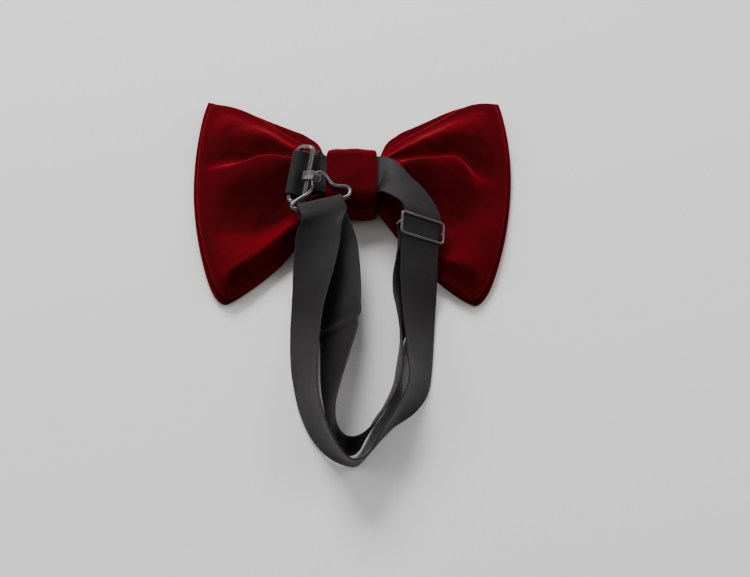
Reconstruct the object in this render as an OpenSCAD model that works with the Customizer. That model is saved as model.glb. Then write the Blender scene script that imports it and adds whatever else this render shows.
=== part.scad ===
// Pre-tied butterfly bow tie with a hook-and-eye neck strap, lying face down, its back up.
// +X right, +Y towards the top of the bow, +Z out of its back. Origin: middle of the knot's front face.

/* [Bow] */
// Half width of the bow at its upper corners
top_corner_x = 62.4; // [54:1:76]
// Height of the upper corners above the knot's middle
top_corner_y = 48; // [42:1:58]
// Half width of the bow at its lower corners
low_corner_x = 50.6; // [44:1:62]
// Drop of the lower corners below the knot's middle
low_corner_y = 57; // [48:1:66]
// How far the short sides bulge outwards
side_bulge = 7.8; // [3:0.2:12]
// How far the upper edge bulges upwards
top_bulge = 9; // [6:0.5:11]
// How far the lower edge bulges downwards
low_bulge = 5.5; // [2:0.5:8]
// How much wider the front butterfly is on each side
layer_step = 1.8; // [0.6:0.2:3]
// How far the front butterfly sits above the rear one
layer_rise = 4; // [1:0.2:4.4]
// Thickness of the velvet
velvet_t = 0.8; // [0.5:0.05:1]
// Thickness of the interlining
interlining_t = 0.4; // [0.2:0.05:0.6]
// Height of the folds in the wings
puff = 9; // [5:0.5:11]

/* [Knot] */
// Width of the knot along the bow
knot_w = 21; // [18:0.5:26]
// Length of the knot from its upper to its lower edge
knot_l = 29; // [27:0.5:36]
// Thickness of the knot, front to back
knot_t = 17; // [16:0.25:21]
// Thickness of the knot's velvet wrap
wrap_t = 1; // [0.7:0.05:1.2]
// Corner radius of the knot's outline
knot_r = 6; // [5:0.25:7]

/* [Strap] */
// Width of the neck strap and the short band
strap_w = 19; // [15:0.5:23]
// Thickness of the strap
strap_t = 0.7; // [0.4:0.05:0.9]

/* [Hook and eye] */
// Wire diameter of the eye
eye_wire = 2; // [1.4:0.1:2.4]
// Distance between the eye's two long bars, centre to centre
eye_span = 7; // [6.6:0.1:8.4]
// Wire diameter of the hook
hook_wire = 1.8; // [1.2:0.1:2.1]
// Width of the hook's tongue
tongue_w = 3.8; // [2.5:0.1:5]
// Thickness of the hook's tongue
tongue_t = 1.1; // [0.8:0.05:1.3]

/* [Slider] */
// Wire diameter of the slider
slider_wire = 1.1; // [0.8:0.05:1.3]
// Distance between the slider's two outer bars, centre to centre
slider_l = 8.6; // [7.5:0.1:10.5]

/* [Hidden] */
velvet = [0.36, 0.02, 0.06];
velvet_lining = [0.3, 0.02, 0.05];
canvas = [0.8, 0.77, 0.7];
ribbon = [0.09, 0.09, 0.1];
enamel = [0.16, 0.16, 0.17];
thread = [0.05, 0.05, 0.06];

gap = 0.15;            // between neighbouring layers of cloth
layer_gap = 0.5;       // between the two butterflies
clear = 0.3;           // between moving pieces
overlap = 0.02;        // how deep joined wires run into each other
wire_fn = 32;

// ---- Bow: one surface function, six sheets at rising levels ----
wing_cols = 14;
knot_cols = 4;
rows = 12;
waist_half = knot_l / 2 - 3;
cloth = 2 * velvet_t + interlining_t + 2 * gap;
stack_t = 2 * cloth + layer_gap;
waist_lift = wrap_t + 2.6;
pleat_h = knot_t - 2 * wrap_t - stack_t - 2 * strap_t - 6.2;
pleats = 3;

bulge_start = 12;      // how soon the upper edge's bulge sets in beside the knot
function ease(t) = t <= 0 ? 0 : t >= 1 ? 1 : t * t * (3 - 2 * t);
function bell(d) = exp(-d * d);
// u runs from the knot to the short side, v from the lower to the upper edge
function plan_point(u, v, grow, rise) =
    let (s = (1 - v) / 2,
         ex = top_corner_x + (low_corner_x - top_corner_x) * s + 4 * side_bulge * s * (1 - s) + grow,
         ey = top_corner_y - (top_corner_y + low_corner_y) * s + rise * (1 - s) - grow * s / 2,
         swell = v > 0 ? (top_bulge + rise / 2) * v * (1 - exp(-bulge_start * u)) * sqrt(1 - pow(u, 2.5))
             : 4 * u * (1 - u) * low_bulge * v)
    [knot_w / 2 + (ex - knot_w / 2) * u, waist_half * v * (1 - u) + ey * u + swell];
// Radial folds: an upper ridge, a middle swell and a lower lobe, all flat at the sewn edges
function fold_height(u, v) =
    puff * (1 - pow(v, 4)) * sin(180 * pow(u, 0.75)) * (0.85 * bell((v - 0.22) / 0.24)
    + 0.5 * bell((v + 0.12) / 0.2) + 0.34 * bell((v + 0.66) / 0.2));
function pleat(v) = pleat_h * (0.5 - 0.5 * cos(180 * pleats * (v + 1)));
function sheet_point(side, u, v, level, share, grow, rise) =
    let (p = plan_point(u, v, grow, rise))
    [side * p.x, p.y, level + waist_lift * (1 - ease(u * 1.6)) + share * fold_height(u, v)
        + pleat(v) * (1 - ease(u * 3))];
function column(i) =
    i < wing_cols ? [-1, (wing_cols - i) / wing_cols]
    : i <= wing_cols + knot_cols ? [0, (i - wing_cols) / knot_cols * 2 - 1]
    : [1, (i - wing_cols - knot_cols) / wing_cols];
function grid_point(i, j, level, share, grow, rise) =
    let (c = column(i), v = j / rows * 2 - 1, p = sheet_point(1, 0, v, level, share, grow, rise))
    c[0] == 0 ? [c[1] * knot_w / 2, p.y, p.z] : sheet_point(c[0], c[1], v, level, share, grow, rise);

// Trim leaves out whole cells along the outline, as an interlining stops short of the seams
module sheet(level, t, share, grow = 0, rise = 0, trim = 0) {
    cols = 2 * (wing_cols - trim) + knot_cols;
    lines = rows - 2 * trim;
    n = (cols + 1) * (lines + 1);
    low = [for (i = [0:cols]) for (j = [0:lines]) grid_point(i + trim, j + trim, level, share, grow, rise)];
    high = [for (p = low) p + [0, 0, t]];
    cell = function (i, j, o) o + i * (lines + 1) + j;
    top_faces = [for (i = [0:cols - 1]) for (j = [0:lines - 1])
        each [[cell(i, j, n), cell(i, j + 1, n), cell(i + 1, j, n)],
            [cell(i + 1, j, n), cell(i, j + 1, n), cell(i + 1, j + 1, n)]]];
    low_faces = [for (i = [0:cols - 1]) for (j = [0:lines - 1])
        each [[cell(i, j, 0), cell(i + 1, j, 0), cell(i, j + 1, 0)],
            [cell(i + 1, j, 0), cell(i + 1, j + 1, 0), cell(i, j + 1, 0)]]];
    rim = concat([for (i = [0:cols]) cell(i, 0, 0)], [for (j = [1:lines]) cell(cols, j, 0)],
        [for (i = [cols - 1:-1:0]) cell(i, lines, 0)], [for (j = [lines - 1:-1:1]) cell(0, j, 0)]);
    rim_faces = [for (k = [0:len(rim) - 1])
        let (a = rim[k], b = rim[(k + 1) % len(rim)])
        each [[b, a, a + n], [b, a + n, b + n]]];
    polyhedron(points = concat(low, high), faces = concat(top_faces, low_faces, rim_faces), convexity = 10);
}

front_level = 0;
rear_level = cloth + layer_gap;

seam_cells = 1;
module front_bow_face() { color(velvet) sheet(front_level, velvet_t, 0.06, layer_step, layer_rise); }
module front_bow_interlining() {
    color(canvas) sheet(front_level + velvet_t + gap, interlining_t, 0.12, layer_step, layer_rise, seam_cells);
}
module front_bow_lining() {
    color(velvet_lining)
        sheet(front_level + velvet_t + interlining_t + 2 * gap, velvet_t, 0.2, layer_step, layer_rise);
}
module rear_bow_lining() { color(velvet_lining) sheet(rear_level, velvet_t, 0.3); }
module rear_bow_interlining() {
    color(canvas) sheet(rear_level + velvet_t + gap, interlining_t, 0.5, trim = seam_cells);
}
module rear_bow_face() { color(velvet) sheet(rear_level + velvet_t + interlining_t + 2 * gap, velvet_t, 1); }

// ---- Knot: rings round the gathered waist ----
module outline(l, t, r) {
    square([l - 2 * r, t], center = true);
    square([l, t - 2 * r], center = true);
    for (y = [-1, 1]) translate([y * (l / 2 - r), 0]) for (z = [-1, 1])
        translate([0, z * (t / 2 - r)]) circle(r, $fn = 48);
}
// A band of cloth round the waist: inset from the knot's outside, wall, width
module ring(inset, wall, w) {
    translate([-w / 2, 0, knot_t / 2]) rotate([90, 0, 90]) linear_extrude(w) difference() {
        outline(knot_l - 2 * inset, knot_t - 2 * inset, knot_r - inset);
        outline(knot_l - 2 * (inset + wall), knot_t - 2 * (inset + wall), knot_r - inset - wall);
    }
}
knot_lining_t = 0.4;
module knot_wrap() { color(velvet) ring(0, wrap_t, knot_w); }
module knot_interlining() { color(canvas) ring(wrap_t + 0.05, knot_lining_t, knot_w - 2); }
thread_d = 0.5;
thread_turns = 3;
thread_inset = wrap_t + knot_lining_t + 0.15;
module gathering_thread() {
    color(thread) for (k = [0:thread_turns - 1])
        translate([(k - (thread_turns - 1) / 2) * 1.2, 0, 0]) ring(thread_inset, thread_d, thread_d);
}
// A row of short stitches closes the wrap along the knot's lower side
stitch_n = 5;
module knot_stitches() {
    pitch = (knot_w - 5) / (stitch_n - 1);
    color(velvet_lining) for (k = [0:stitch_n - 1])
        translate([(k - (stitch_n - 1) / 2) * pitch, -(knot_l + thread_d) / 2 - 0.02, knot_t / 2])
            rotate([0, 60, 0]) cylinder(h = 2, d = thread_d, center = true, $fn = 16);
}

// ---- Strips: a strap is a row of cross lines [x, y, z, turn, rise], smoothed between rows ----
function at(p, k) = p[max(0, min(len(p) - 1, k))];
function blend4(a, b, c, d, t) =
    0.5 * (2 * b + (c - a) * t + (2 * a - 5 * b + 4 * c - d) * t * t + (3 * b - a - 3 * c + d) * t * t * t);
function smooth_rows(p, n) =
    [for (i = [0:len(p) - 2]) for (k = [0:n - 1]) blend4(at(p, i - 1), p[i], p[i + 1], at(p, i + 2), k / n),
     p[len(p) - 1]];
function unit(v) = v / norm(v);
function across(r) = [cos(r[3]) * cos(r[4]), sin(r[3]) * cos(r[4]), sin(r[4])];
function spot(r) = [r[0], r[1], r[2]];
// Four corners of each cross section; the list is all the strip's rows, so neighbours meet face to face
function section(s, i, w, t) =
    let (c = spot(s[i]), a = across(s[i]), run = spot(at(s, i + 1)) - spot(at(s, i - 1)),
         n = unit(cross(unit(run), a)) * t / 2, h = a * w / 2)
    [c - h - n, c + h - n, c + h + n, c - h + n];
module strip(s, from, to, w, t) {
    pts = [for (i = [from:to]) each section(s, i, w, t)];
    m = to - from;
    sides = [for (i = [0:m - 1]) for (k = [0:3])
        let (a = 4 * i + k, b = 4 * i + (k + 1) % 4)
        each [[a, a + 4, b], [b, a + 4, b + 4]]];
    ends = [[0, 1, 2], [0, 2, 3], [4 * m + 2, 4 * m + 1, 4 * m], [4 * m + 3, 4 * m + 2, 4 * m]];
    polyhedron(points = pts, faces = concat(sides, ends), convexity = 10);
}

// ---- Places shared by the strap, the eye, the hook and the slider ----
band_z = knot_t - wrap_t - knot_lining_t - thread_d - 0.35 - strap_t / 2;
// Eye: middle of the bar inside the band's fold, the direction along it and the one across to the other bar
eye_at = [-knot_w / 2 - 13, -2.8, band_z + 4.4];
eye_along = unit([0.17, 0.92, 0.35]);
eye_flat = unit(cross(cross(eye_along, [1, -0.35, 0.4]), eye_along));
eye_up = cross(eye_flat, eye_along);
eye_turn = atan2(eye_along.y, eye_along.x);
eye_rise = asin(eye_along.z);
eye_inside = strap_w + 2 * 1.2;
// Slider: middle of its centre bar's slot, along the strap and up out of the strap
slider_at = [27.9, -29, 17.7];
slide_dir = unit([-0.05, -0.95, -0.28]);
slider_up = unit(cross(unit([-0.79, -0.176, 0.588]), slide_dir));
slider_across = cross(slide_dir, slider_up);
slider_turn = 180 + atan2(-slider_across.y, -slider_across.x);
slider_rise = asin(slider_across.z);
module place(o, x, y, z) {
    multmatrix([[x.x, y.x, z.x, o.x], [x.y, y.y, z.y, o.y], [x.z, y.z, z.z, o.z], [0, 0, 0, 1]]) children();
}
function on_slider(t, n) = slider_at + slide_dir * t + slider_up * n;
function slider_row(t, n) = let (p = on_slider(t, n)) [p.x, p.y, p.z, slider_turn, slider_rise];

// Hook: middle of the bar inside the strap's fold, along the bar, towards the tongue and up
hook_at = [-11.8, -17.4, band_z + 4.3];
hook_along = unit([19, 7, -1.5]);
hook_in = unit(cross(cross(hook_along, [-0.345, 0.936, 0.05]), hook_along));
hook_up = cross(hook_along, hook_in);
hook_turn = atan2(hook_along.y, hook_along.x);
hook_rise = asin(hook_along.z);

// ---- Short band: out of the knot, round the eye's bar and back ----
band_r = eye_wire / 2 + clear + strap_t / 2;
band_ply = strap_t + gap;
band_shift = 0.6;
function band_row(f, n) =
    let (p = eye_at + eye_along * band_shift + eye_flat * f + eye_up * n)
    [p.x, p.y, p.z, eye_turn, eye_rise];
band_low = [
    [-knot_w / 2 + 5, 0, band_z - band_ply, 90, 0],
    [-knot_w / 2 - 0.5, 1, band_z - band_ply, 88, 1],
    [-knot_w / 2 - 4, 2, band_z + 1 - band_ply, 84, 9],
    band_row(5.6, -4.3), band_row(3, -2.9), band_row(1.2, -1.95)];
band_roll = [for (k = [0:6]) band_row(-sin(180 * k / 6) * band_r, -cos(180 * k / 6) * band_r)];
band_high = [band_row(1.6, 1.15), band_row(3.4, -1.1), band_row(5.6, -4.3 + band_ply),
    [-knot_w / 2 - 4, 2, band_z + 1, 84, 9],
    [-knot_w / 2 - 0.5, 1, band_z, 88, 1],
    [-knot_w / 2 + 5, 0, band_z, 90, 0]];
band = smooth_rows(concat(band_low, band_roll, band_high), 3);
module short_band() { color(ribbon) strip(band, 0, len(band) - 1, strap_w, strap_t); }
// Thread laid along a cross line, in short lengths that stand on the cloth
stitch_gap = 2.6;
module stitch_row(o, along, up, lift, w) {
    n = floor((w - 3) / stitch_gap);
    for (k = [0:n]) place(o + along * (k - n / 2) * stitch_gap + up * lift, cross(along, up), up, along)
        cylinder(h = 1.7, d = 0.3, center = true, $fn = 16);
}
module short_band_stitches() {
    p = [-knot_w / 2 - 1.6, 1.2, band_z + 0.35];
    color(thread) stitch_row(p, [0, 1, 0], unit([-0.3, 0, 1]), strap_t / 2 + 1, strap_w);
}

// ---- Eye: a wire ring with two long bars ----
eye_bend = 2.2;
eye_len = eye_inside + eye_wire;
module wire_corner(r, d) {
    rotate_extrude(angle = 90, $fn = 48) translate([r, 0]) circle(d = d, $fn = wire_fn);
}
// A closed rounded rectangle of wire in the XY plane, centred; bars run along Y
module wire_frame(span, l, r, d) {
    for (x = [-1, 1]) translate([x * span / 2, 0, 0]) rotate([90, 0, 0])
        cylinder(h = l - 2 * r + overlap, d = d, center = true, $fn = wire_fn);
    for (y = [-1, 1]) translate([0, y * l / 2, 0]) rotate([0, 90, 0])
        cylinder(h = span - 2 * r + overlap, d = d, center = true, $fn = wire_fn);
    for (k = [0:3]) {
        sx = k == 0 || k == 3 ? 1 : -1;
        sy = k < 2 ? 1 : -1;
        translate([sx * (span / 2 - r), sy * (l / 2 - r), 0]) rotate([0, 0, 90 * k]) wire_corner(r, d);
    }
}
module eye() {
    color(enamel) place(eye_at, eye_flat, eye_along, eye_up)
        translate([eye_span / 2, 0, 0]) wire_frame(eye_span, eye_len, eye_bend, eye_wire);
}

// ---- Hook: a bent wire with a flat tongue that wraps the eye's free bar ----
hook_half = strap_w / 2 + 1.4;
hook_slack = 0.7;
// The wire's course, drawn for the usual half width and stretched along the bar for another
hook_shape_half = 10.9;
hook_shape = [[-9.4, 0, 0], [-10.7, 0.15, 0], [-11.6, 0.95, 0], [-11.7, 2.05, 0.1], [-11, 2.9, 0.2], [-9.7, 3.5, 0.3],
    [-7.8, 4.15, 0.5], [-5.2, 4.9, 0.8], [-2.6, 6.4, 0.5], [-1.1, 8.8, 0], [-0.1, 11.2, -0.2], [1, 13.4, 0],
    [2.8, 14.8, 0], [4.8, 14.4, 0], [6.1, 12, 0], [6.8, 9, 0], [8, 6.9, 0], [9.8, 5.9, 0], [11.7, 5.3, 0],
    [13, 4, 0], [13, 2.2, 0], [11.7, 0.6, 0], [9.6, 0, 0], [5, 0, 0], [0, 0, 0], [-5, 0, 0]];
hook_path = [for (p = hook_shape) [p.x * hook_half / hook_shape_half, p.y, p.z]];
function tube_ring(p, side, up, d, n) =
    [for (k = [0:n - 1]) p + (side * cos(360 * k / n) + up * sin(360 * k / n)) * d / 2];
// A closed loop of wire through points near its own XY plane, smoothed
module wire_loop(path, d, steps, n) {
    m = len(path);
    at_loop = function (k) path[(k + m) % m];
    pts = [for (i = [0:m - 1]) for (k = [0:steps - 1])
        blend4(at_loop(i - 1), at_loop(i), at_loop(i + 1), at_loop(i + 2), k / steps)];
    c = len(pts);
    rings = [for (i = [0:c - 1])
        let (run = unit(pts[(i + 1) % c] - pts[(i + c - 1) % c]), side = unit([run.y, -run.x, 0]))
        each tube_ring(pts[i], side, cross(side, run), d, n)];
    faces = [for (i = [0:c - 1]) for (k = [0:n - 1])
        let (a = i * n + k, b = i * n + (k + 1) % n, e = ((i + 1) % c) * n)
        each [[a, b, e + k], [b, e + (k + 1) % n, e + k]]];
    polyhedron(points = rings, faces = faces, convexity = 10);
}
tongue_r = eye_wire / 2 + clear;
tongue_top = 4;
tongue_root = 5.2;
tongue_shift = -0.9;
module tongue() {
    translate([0, tongue_w / 2, 0]) rotate([90, 0, 0]) linear_extrude(tongue_w) {
        difference() {
            circle(tongue_r + tongue_t, $fn = 48);
            circle(tongue_r, $fn = 48);
            translate([0, -5]) square([10, 10]);
        }
        translate([-overlap, tongue_r]) square([tongue_top, tongue_t]);
        translate([-overlap, -tongue_r - tongue_t]) square([tongue_root, tongue_t]);
    }
}
module hook() {
    color(enamel) {
        place(hook_at, hook_along, hook_in, hook_up) wire_loop(hook_path, hook_wire, 3, 12);
        place(eye_at + eye_flat * eye_span + eye_along * tongue_shift, eye_flat, eye_along, eye_up) tongue();
    }
}

// ---- Slider: a wire frame over the strap and a centre bar under it ----
slider_len = strap_w + 1.2 + slider_wire;
frame_lift = strap_t / 2 + clear + slider_wire / 2;
bar_r = slider_wire / 2 + 0.08 + strap_t / 2;
bar_drop = strap_t + clear - 0.03 + bar_r;
module on_strap() { place(slider_at, slide_dir, -slider_across, slider_up) children(); }
slider_bend = 1.4;
module slider_frame() {
    corner = [slider_l / 2 - slider_bend, slider_len / 2 - slider_bend];
    path = [for (k = [0:3]) for (a = [0:4])
        let (sx = k == 1 || k == 2 ? -1 : 1, sy = k > 1 ? -1 : 1, w = 90 * k + 90 * a / 4)
        [sx * corner.x + slider_bend * cos(w), sy * corner.y + slider_bend * sin(w), 0]];
    clockwise = [for (k = [len(path) - 1:-1:0]) path[k]];
    color(enamel) on_strap() translate([0, 0, frame_lift]) wire_loop(clockwise, slider_wire, 1, 12);
}
module slider_bar() {
    post_d = slider_wire + 0.1;
    post_h = frame_lift + bar_drop + post_d / 2 - slider_wire / 2 + overlap;
    color(enamel) on_strap() translate([0, 0, -bar_drop]) {
        rotate([90, 0, 0]) cylinder(h = slider_len, d = slider_wire, center = true, $fn = 2 * wire_fn);
        for (y = [-1, 1]) translate([0, y * slider_len / 2, -post_d / 2])
            cylinder(h = post_h, d = post_d, $fn = 2 * wire_fn);
    }
}

// ---- Neck strap: one ribbon, sewn round the slider's bar, once round the neck, through the hook, ----
// ---- back round the neck, through the slider and into the knot ----
ply = strap_t + 0.05;
sewn = [slider_row(10.5, -bar_drop + ply / 2), slider_row(6, -bar_drop + ply / 2 + 0.02),
    slider_row(2.4, -bar_drop + 0.8),
    for (k = [0:6]) slider_row(-sin(180 * k / 6) * bar_r, -bar_drop + cos(180 * k / 6) * bar_r),
    slider_row(2.4, -bar_drop - 0.8),
    slider_row(6, -bar_drop - ply / 2 - 0.02), slider_row(10.5, -bar_drop - ply / 2)];
inner_right = [[24.4, -47.5, 10.9, 188, 37], [22.2, -56.5, 9.4, 184, 54], [20.2, -66, 9.6, 181, 76]];
inner_loop = [[19.4, -79, 9.9, 180, 93], [18.6, -91, 9.8, 172, 101], [15.6, -101, 9.8, 158, 106],
    [11.2, -109, 9.7, 136, 109], [7.2, -116, 9.8, 112, 106], [3.2, -120.6, 10, 90, 98],
    [-1, -120.6, 10.1, 64, 93], [-4.4, -115.5, 9.9, 40, 88], [-6, -108.5, 9.8, 18, 81],
    [-6.2, -100, 9.4, 6, 71], [-5.8, -91, 8.8, 2, 59], [-5, -80.5, 7.8, 0, 48], [-4.1, -70, 6.8, 0, 38]];
inner_left = [[-3.9, -59.5, 6.2, 2, 30], [-4.4, -50, 6.9, 5, 24], [-5.4, -41, 9, 8, 18],
    [-6.9, -32.5, 11.7, 12, 9]];
fold_r = hook_wire / 2 + clear + strap_t / 2;
function fold_row(d, h) =
    let (p = hook_at - hook_along * hook_slack - hook_in * d + hook_up * h) [p.x, p.y, p.z, hook_turn, hook_rise];
fold = [fold_row(6, -1.5), fold_row(2.6, -fold_r - 0.05),
    for (k = [0:6]) fold_row(-sin(180 * k / 6) * fold_r, -cos(180 * k / 6) * fold_r),
    fold_row(2.6, fold_r - 0.1), fold_row(6, 0.9)];
outer_left = [[-12.3, -28.6, 17.3, 14, 5], [-13.3, -37.5, 13.6, 6, 16], [-14.8, -48.5, 9.7, 0, 32],
    [-16, -58, 7.9, 0, 41]];
outer_loop = [[-16.9, -68, 7.5, 0, 47], [-16.8, -82, 8.3, 2, 54], [-15.4, -98, 9.1, 9, 63],
    [-12.6, -108.5, 9.6, 24, 70], [-8.4, -117.5, 9.9, 40, 80], [-3.2, -124, 10, 62, 94],
    [2.4, -127.6, 9.9, 86, 108], [7, -125, 9.9, 116, 108], [11.4, -117.6, 10, 138, 101],
    [17.4, -109, 9.9, 142, 95], [23.2, -101.5, 9.6, 153, 80], [26.2, -93.5, 9.1, 170, 67],
    [26.7, -83.5, 8.5, 180, 58], [26.7, -70, 8.1, 184, 51], [26.9, -58, 8.7, 189, 44]];
outer_right = [slider_row(19, 0), slider_row(0, 0), slider_row(-7.6, 0), [23.4, -14, 20.6, 212, 30],
    [18.1, -7.4, 18.9, 228, 21], [14.7, -1.7, 16.1, 248, 4], [knot_w / 2 + 1.2, 0.6, band_z, 263, -2],
    [knot_w / 2 - 5, 0.6, band_z, 268, 0]];
route = concat(sewn, inner_right, inner_loop, inner_left, fold, outer_left, outer_loop, outer_right);
steps = 3;
strap = smooth_rows(route, steps);
// Row numbers where the cloth changes from one stretch to the next
end_sewn = len(sewn) - 1;
end_lead = end_sewn + len(inner_right);
end_inner = end_lead + len(inner_loop);
start_fold = end_inner + len(inner_left) + 1;
end_fold = start_fold + len(fold) - 1;
end_outer_lead = end_fold + len(outer_left);
module stretch(a, b) { color(ribbon) strip(strap, a * steps, b * steps, strap_w, strap_t); }
module strap_sewn_end() { stretch(0, end_sewn); }
module strap_sewn_lead() { stretch(end_sewn, end_lead); }
module strap_inner_run() { stretch(end_lead, end_inner); }
module strap_inner_lead() { stretch(end_inner, start_fold); }
module strap_hook_fold() { stretch(start_fold, end_fold); }
module strap_outer_lead() { stretch(end_fold, end_outer_lead); }
module strap_outer_run() { stretch(end_outer_lead, len(route) - 1); }
module sewn_end_stitches() {
    o = on_slider(8, -bar_drop - ply / 2);
    color(thread) stitch_row(o, slider_across, -slider_up, strap_t / 2 + 0.3, strap_w);
}

front_bow_face();
front_bow_interlining();
front_bow_lining();
rear_bow_lining();
rear_bow_interlining();
rear_bow_face();
knot_wrap();
knot_interlining();
gathering_thread();
knot_stitches();
short_band();
short_band_stitches();
eye();
hook();
slider_frame();
slider_bar();
strap_sewn_end();
sewn_end_stitches();
strap_sewn_lead();
strap_inner_run();
strap_inner_lead();
strap_hook_fold();
strap_outer_lead();
strap_outer_run();
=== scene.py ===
import logging
import math
from dataclasses import dataclass
from enum import Enum
from typing import Callable, Sequence

import bmesh
import bpy
import numpy as np
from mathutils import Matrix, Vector


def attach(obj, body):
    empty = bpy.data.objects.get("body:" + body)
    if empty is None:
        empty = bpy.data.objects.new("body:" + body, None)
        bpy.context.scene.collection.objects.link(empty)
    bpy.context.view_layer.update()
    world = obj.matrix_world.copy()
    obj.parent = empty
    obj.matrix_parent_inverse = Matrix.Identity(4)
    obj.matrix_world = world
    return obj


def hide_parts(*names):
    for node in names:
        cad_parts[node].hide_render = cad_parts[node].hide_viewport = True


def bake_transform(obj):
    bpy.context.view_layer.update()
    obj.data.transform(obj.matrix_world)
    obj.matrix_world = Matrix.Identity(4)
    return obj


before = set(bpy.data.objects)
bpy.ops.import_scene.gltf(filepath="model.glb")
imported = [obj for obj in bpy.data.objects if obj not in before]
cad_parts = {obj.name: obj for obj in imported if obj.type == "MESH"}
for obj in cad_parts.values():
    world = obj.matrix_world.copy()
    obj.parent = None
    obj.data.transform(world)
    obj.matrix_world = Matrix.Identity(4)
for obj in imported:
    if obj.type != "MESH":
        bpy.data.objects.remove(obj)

LOG = logging.getLogger("bow_tie")
MM = 0.001
Row = tuple[float, float, float, float, float]
Vec = np.ndarray


# ---------------------------------------------------------------- small maths
def unit(v: Sequence[float]) -> Vec:
    """Scale a vector to length one."""
    a = np.asarray(v, float)
    return a / np.linalg.norm(a)


def ease(t: Vec) -> Vec:
    """Smooth step from 0 to 1, flat at both ends."""
    t = np.clip(t, 0.0, 1.0)
    return t * t * (3.0 - 2.0 * t)


def smooth_rows(rows: Sequence[Row], steps: int) -> Vec:
    """Run a Catmull-Rom curve through rows of numbers.

    Args:
        rows: the rows to pass through.
        steps: curve points made for each gap between rows.

    Returns:
        An array of rows, the last given row included.
    """
    p = np.asarray(rows, float)
    q = np.vstack([p[0], p, p[-1]])
    out = []
    for i in range(len(p) - 1):
        a, b, c, d = q[i], q[i + 1], q[i + 2], q[i + 3]
        for k in range(steps):
            t = k / steps
            out.append(0.5 * (2 * b + (c - a) * t + (2 * a - 5 * b + 4 * c - d) * t * t
                              + (3 * b - a - 3 * c + d) * t ** 3))
    out.append(p[-1])
    return np.array(out)


def waves(x: Vec, y: Vec, seed: int, length: float, count: int = 14) -> Vec:
    """Soft random waves over a plane, the same on every run.

    Args:
        x: first coordinate, in millimetres.
        y: second coordinate, in millimetres.
        seed: which set of waves.
        length: their middle wavelength, in millimetres.
        count: how many are added together.

    Returns:
        Heights of about -1 to 1.
    """
    rng = np.random.default_rng(seed)
    total = np.zeros_like(np.asarray(x, float))
    for _ in range(count):
        turn, phase = rng.uniform(0, 2 * math.pi, 2)
        size = length * rng.uniform(0.6, 1.7)
        total = total + np.sin((x * math.cos(turn) + y * math.sin(turn)) * 2 * math.pi / size + phase)
    return total / math.sqrt(count)


def glide(x: Vec, at: Sequence[float], values: Sequence[float]) -> Vec:
    """Read a smooth curve drawn through a few points.

    Args:
        x: where to read it.
        at: the points' places, rising.
        values: the points' values.

    Returns:
        The curve's values, with no kink at the points.
    """
    a, b = np.asarray(at, float), np.asarray(values, float)
    slope = np.gradient(b, a)
    k = np.clip(np.searchsorted(a, x, side="right") - 1, 0, len(a) - 2)
    wide = a[k + 1] - a[k]
    t = np.clip((x - a[k]) / wide, 0.0, 1.0)
    return (b[k] * (1 + 2 * t) * np.square(1 - t) + slope[k] * wide * t * np.square(1 - t)
            + b[k + 1] * t * t * (3 - 2 * t) + slope[k + 1] * wide * t * t * (t - 1))


# ---------------------------------------------------------------- mesh helpers
def deselect() -> None:
    """Leave nothing selected, so that an operator acts only on what is made next."""
    bpy.ops.object.select_all(action="DESELECT")


def mesh_piece(name: str, points: Vec, faces: Sequence[Sequence[int]], uv: Vec | None = None,
               weld: float = 0.0) -> bpy.types.Object:
    """Make a smooth closed mesh piece from points in millimetres.

    Args:
        name: the piece's name.
        points: one row of three numbers for each point.
        faces: point numbers of each face.
        uv: a pair of numbers for each point, in metres, or None.
        weld: distance, in millimetres, under which points are joined.

    Returns:
        The new object, at the origin.
    """
    mesh = bpy.data.meshes.new(name)
    mesh.from_pydata((np.asarray(points) * MM).tolist(), [], [list(map(int, f)) for f in faces])
    if uv is not None:
        layer = mesh.uv_layers.new(name="cloth")
        corner = np.zeros(len(mesh.loops), int)
        mesh.loops.foreach_get("vertex_index", corner)
        layer.data.foreach_set("uv", np.asarray(uv, np.float32)[corner].ravel())
    work = bmesh.new()
    work.from_mesh(mesh)
    if weld:
        bmesh.ops.remove_doubles(work, verts=work.verts, dist=weld * MM)
        bmesh.ops.dissolve_degenerate(work, edges=work.edges, dist=weld * MM * 0.5)
    bmesh.ops.recalc_face_normals(work, faces=work.faces)
    work.to_mesh(mesh)
    work.free()
    mesh.polygons.foreach_set("use_smooth", [True] * len(mesh.polygons))
    piece = bpy.data.objects.new(name, mesh)
    bpy.context.scene.collection.objects.link(piece)
    return piece


def apply_modifiers(piece: bpy.types.Object) -> None:
    """Apply every modifier of a piece, in order."""
    deselect()
    piece.select_set(True)
    bpy.context.view_layer.objects.active = piece
    for modifier in list(piece.modifiers):
        bpy.ops.object.modifier_apply(modifier=modifier.name)


def dress(piece: bpy.types.Object, material: bpy.types.Material) -> None:
    """Give a piece one material all over."""
    if piece.material_slots:
        for slot in piece.material_slots:
            slot.material = material
    else:
        piece.data.materials.append(material)


# ---------------------------------------------------------------- finishes
class Graph:
    """A short way to add and join shader nodes in one tree."""

    def __init__(self, tree: bpy.types.NodeTree) -> None:
        """Start on an empty tree."""
        self.tree = tree
        self.tree.nodes.clear()

    def add(self, kind: str, **values: object) -> bpy.types.Node:
        """Add a node and set its fields and sockets.

        Args:
            kind: the node's type name, without "ShaderNode" for shader nodes.
            values: a field's name and value, or in_NAME for a socket's default value.

        Returns:
            The node.
        """
        full = kind if kind.startswith("Node") else "ShaderNode" + kind
        node = self.tree.nodes.new(full)
        for key, value in values.items():
            if key.startswith("in_"):
                node.inputs[key[3:].replace("_", " ")].default_value = value
            else:
                setattr(node, key, value)
        return node

    def join(self, out: bpy.types.NodeSocket, into: bpy.types.NodeSocket) -> None:
        """Join an output socket to an input socket."""
        self.tree.links.new(out, into)


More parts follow.
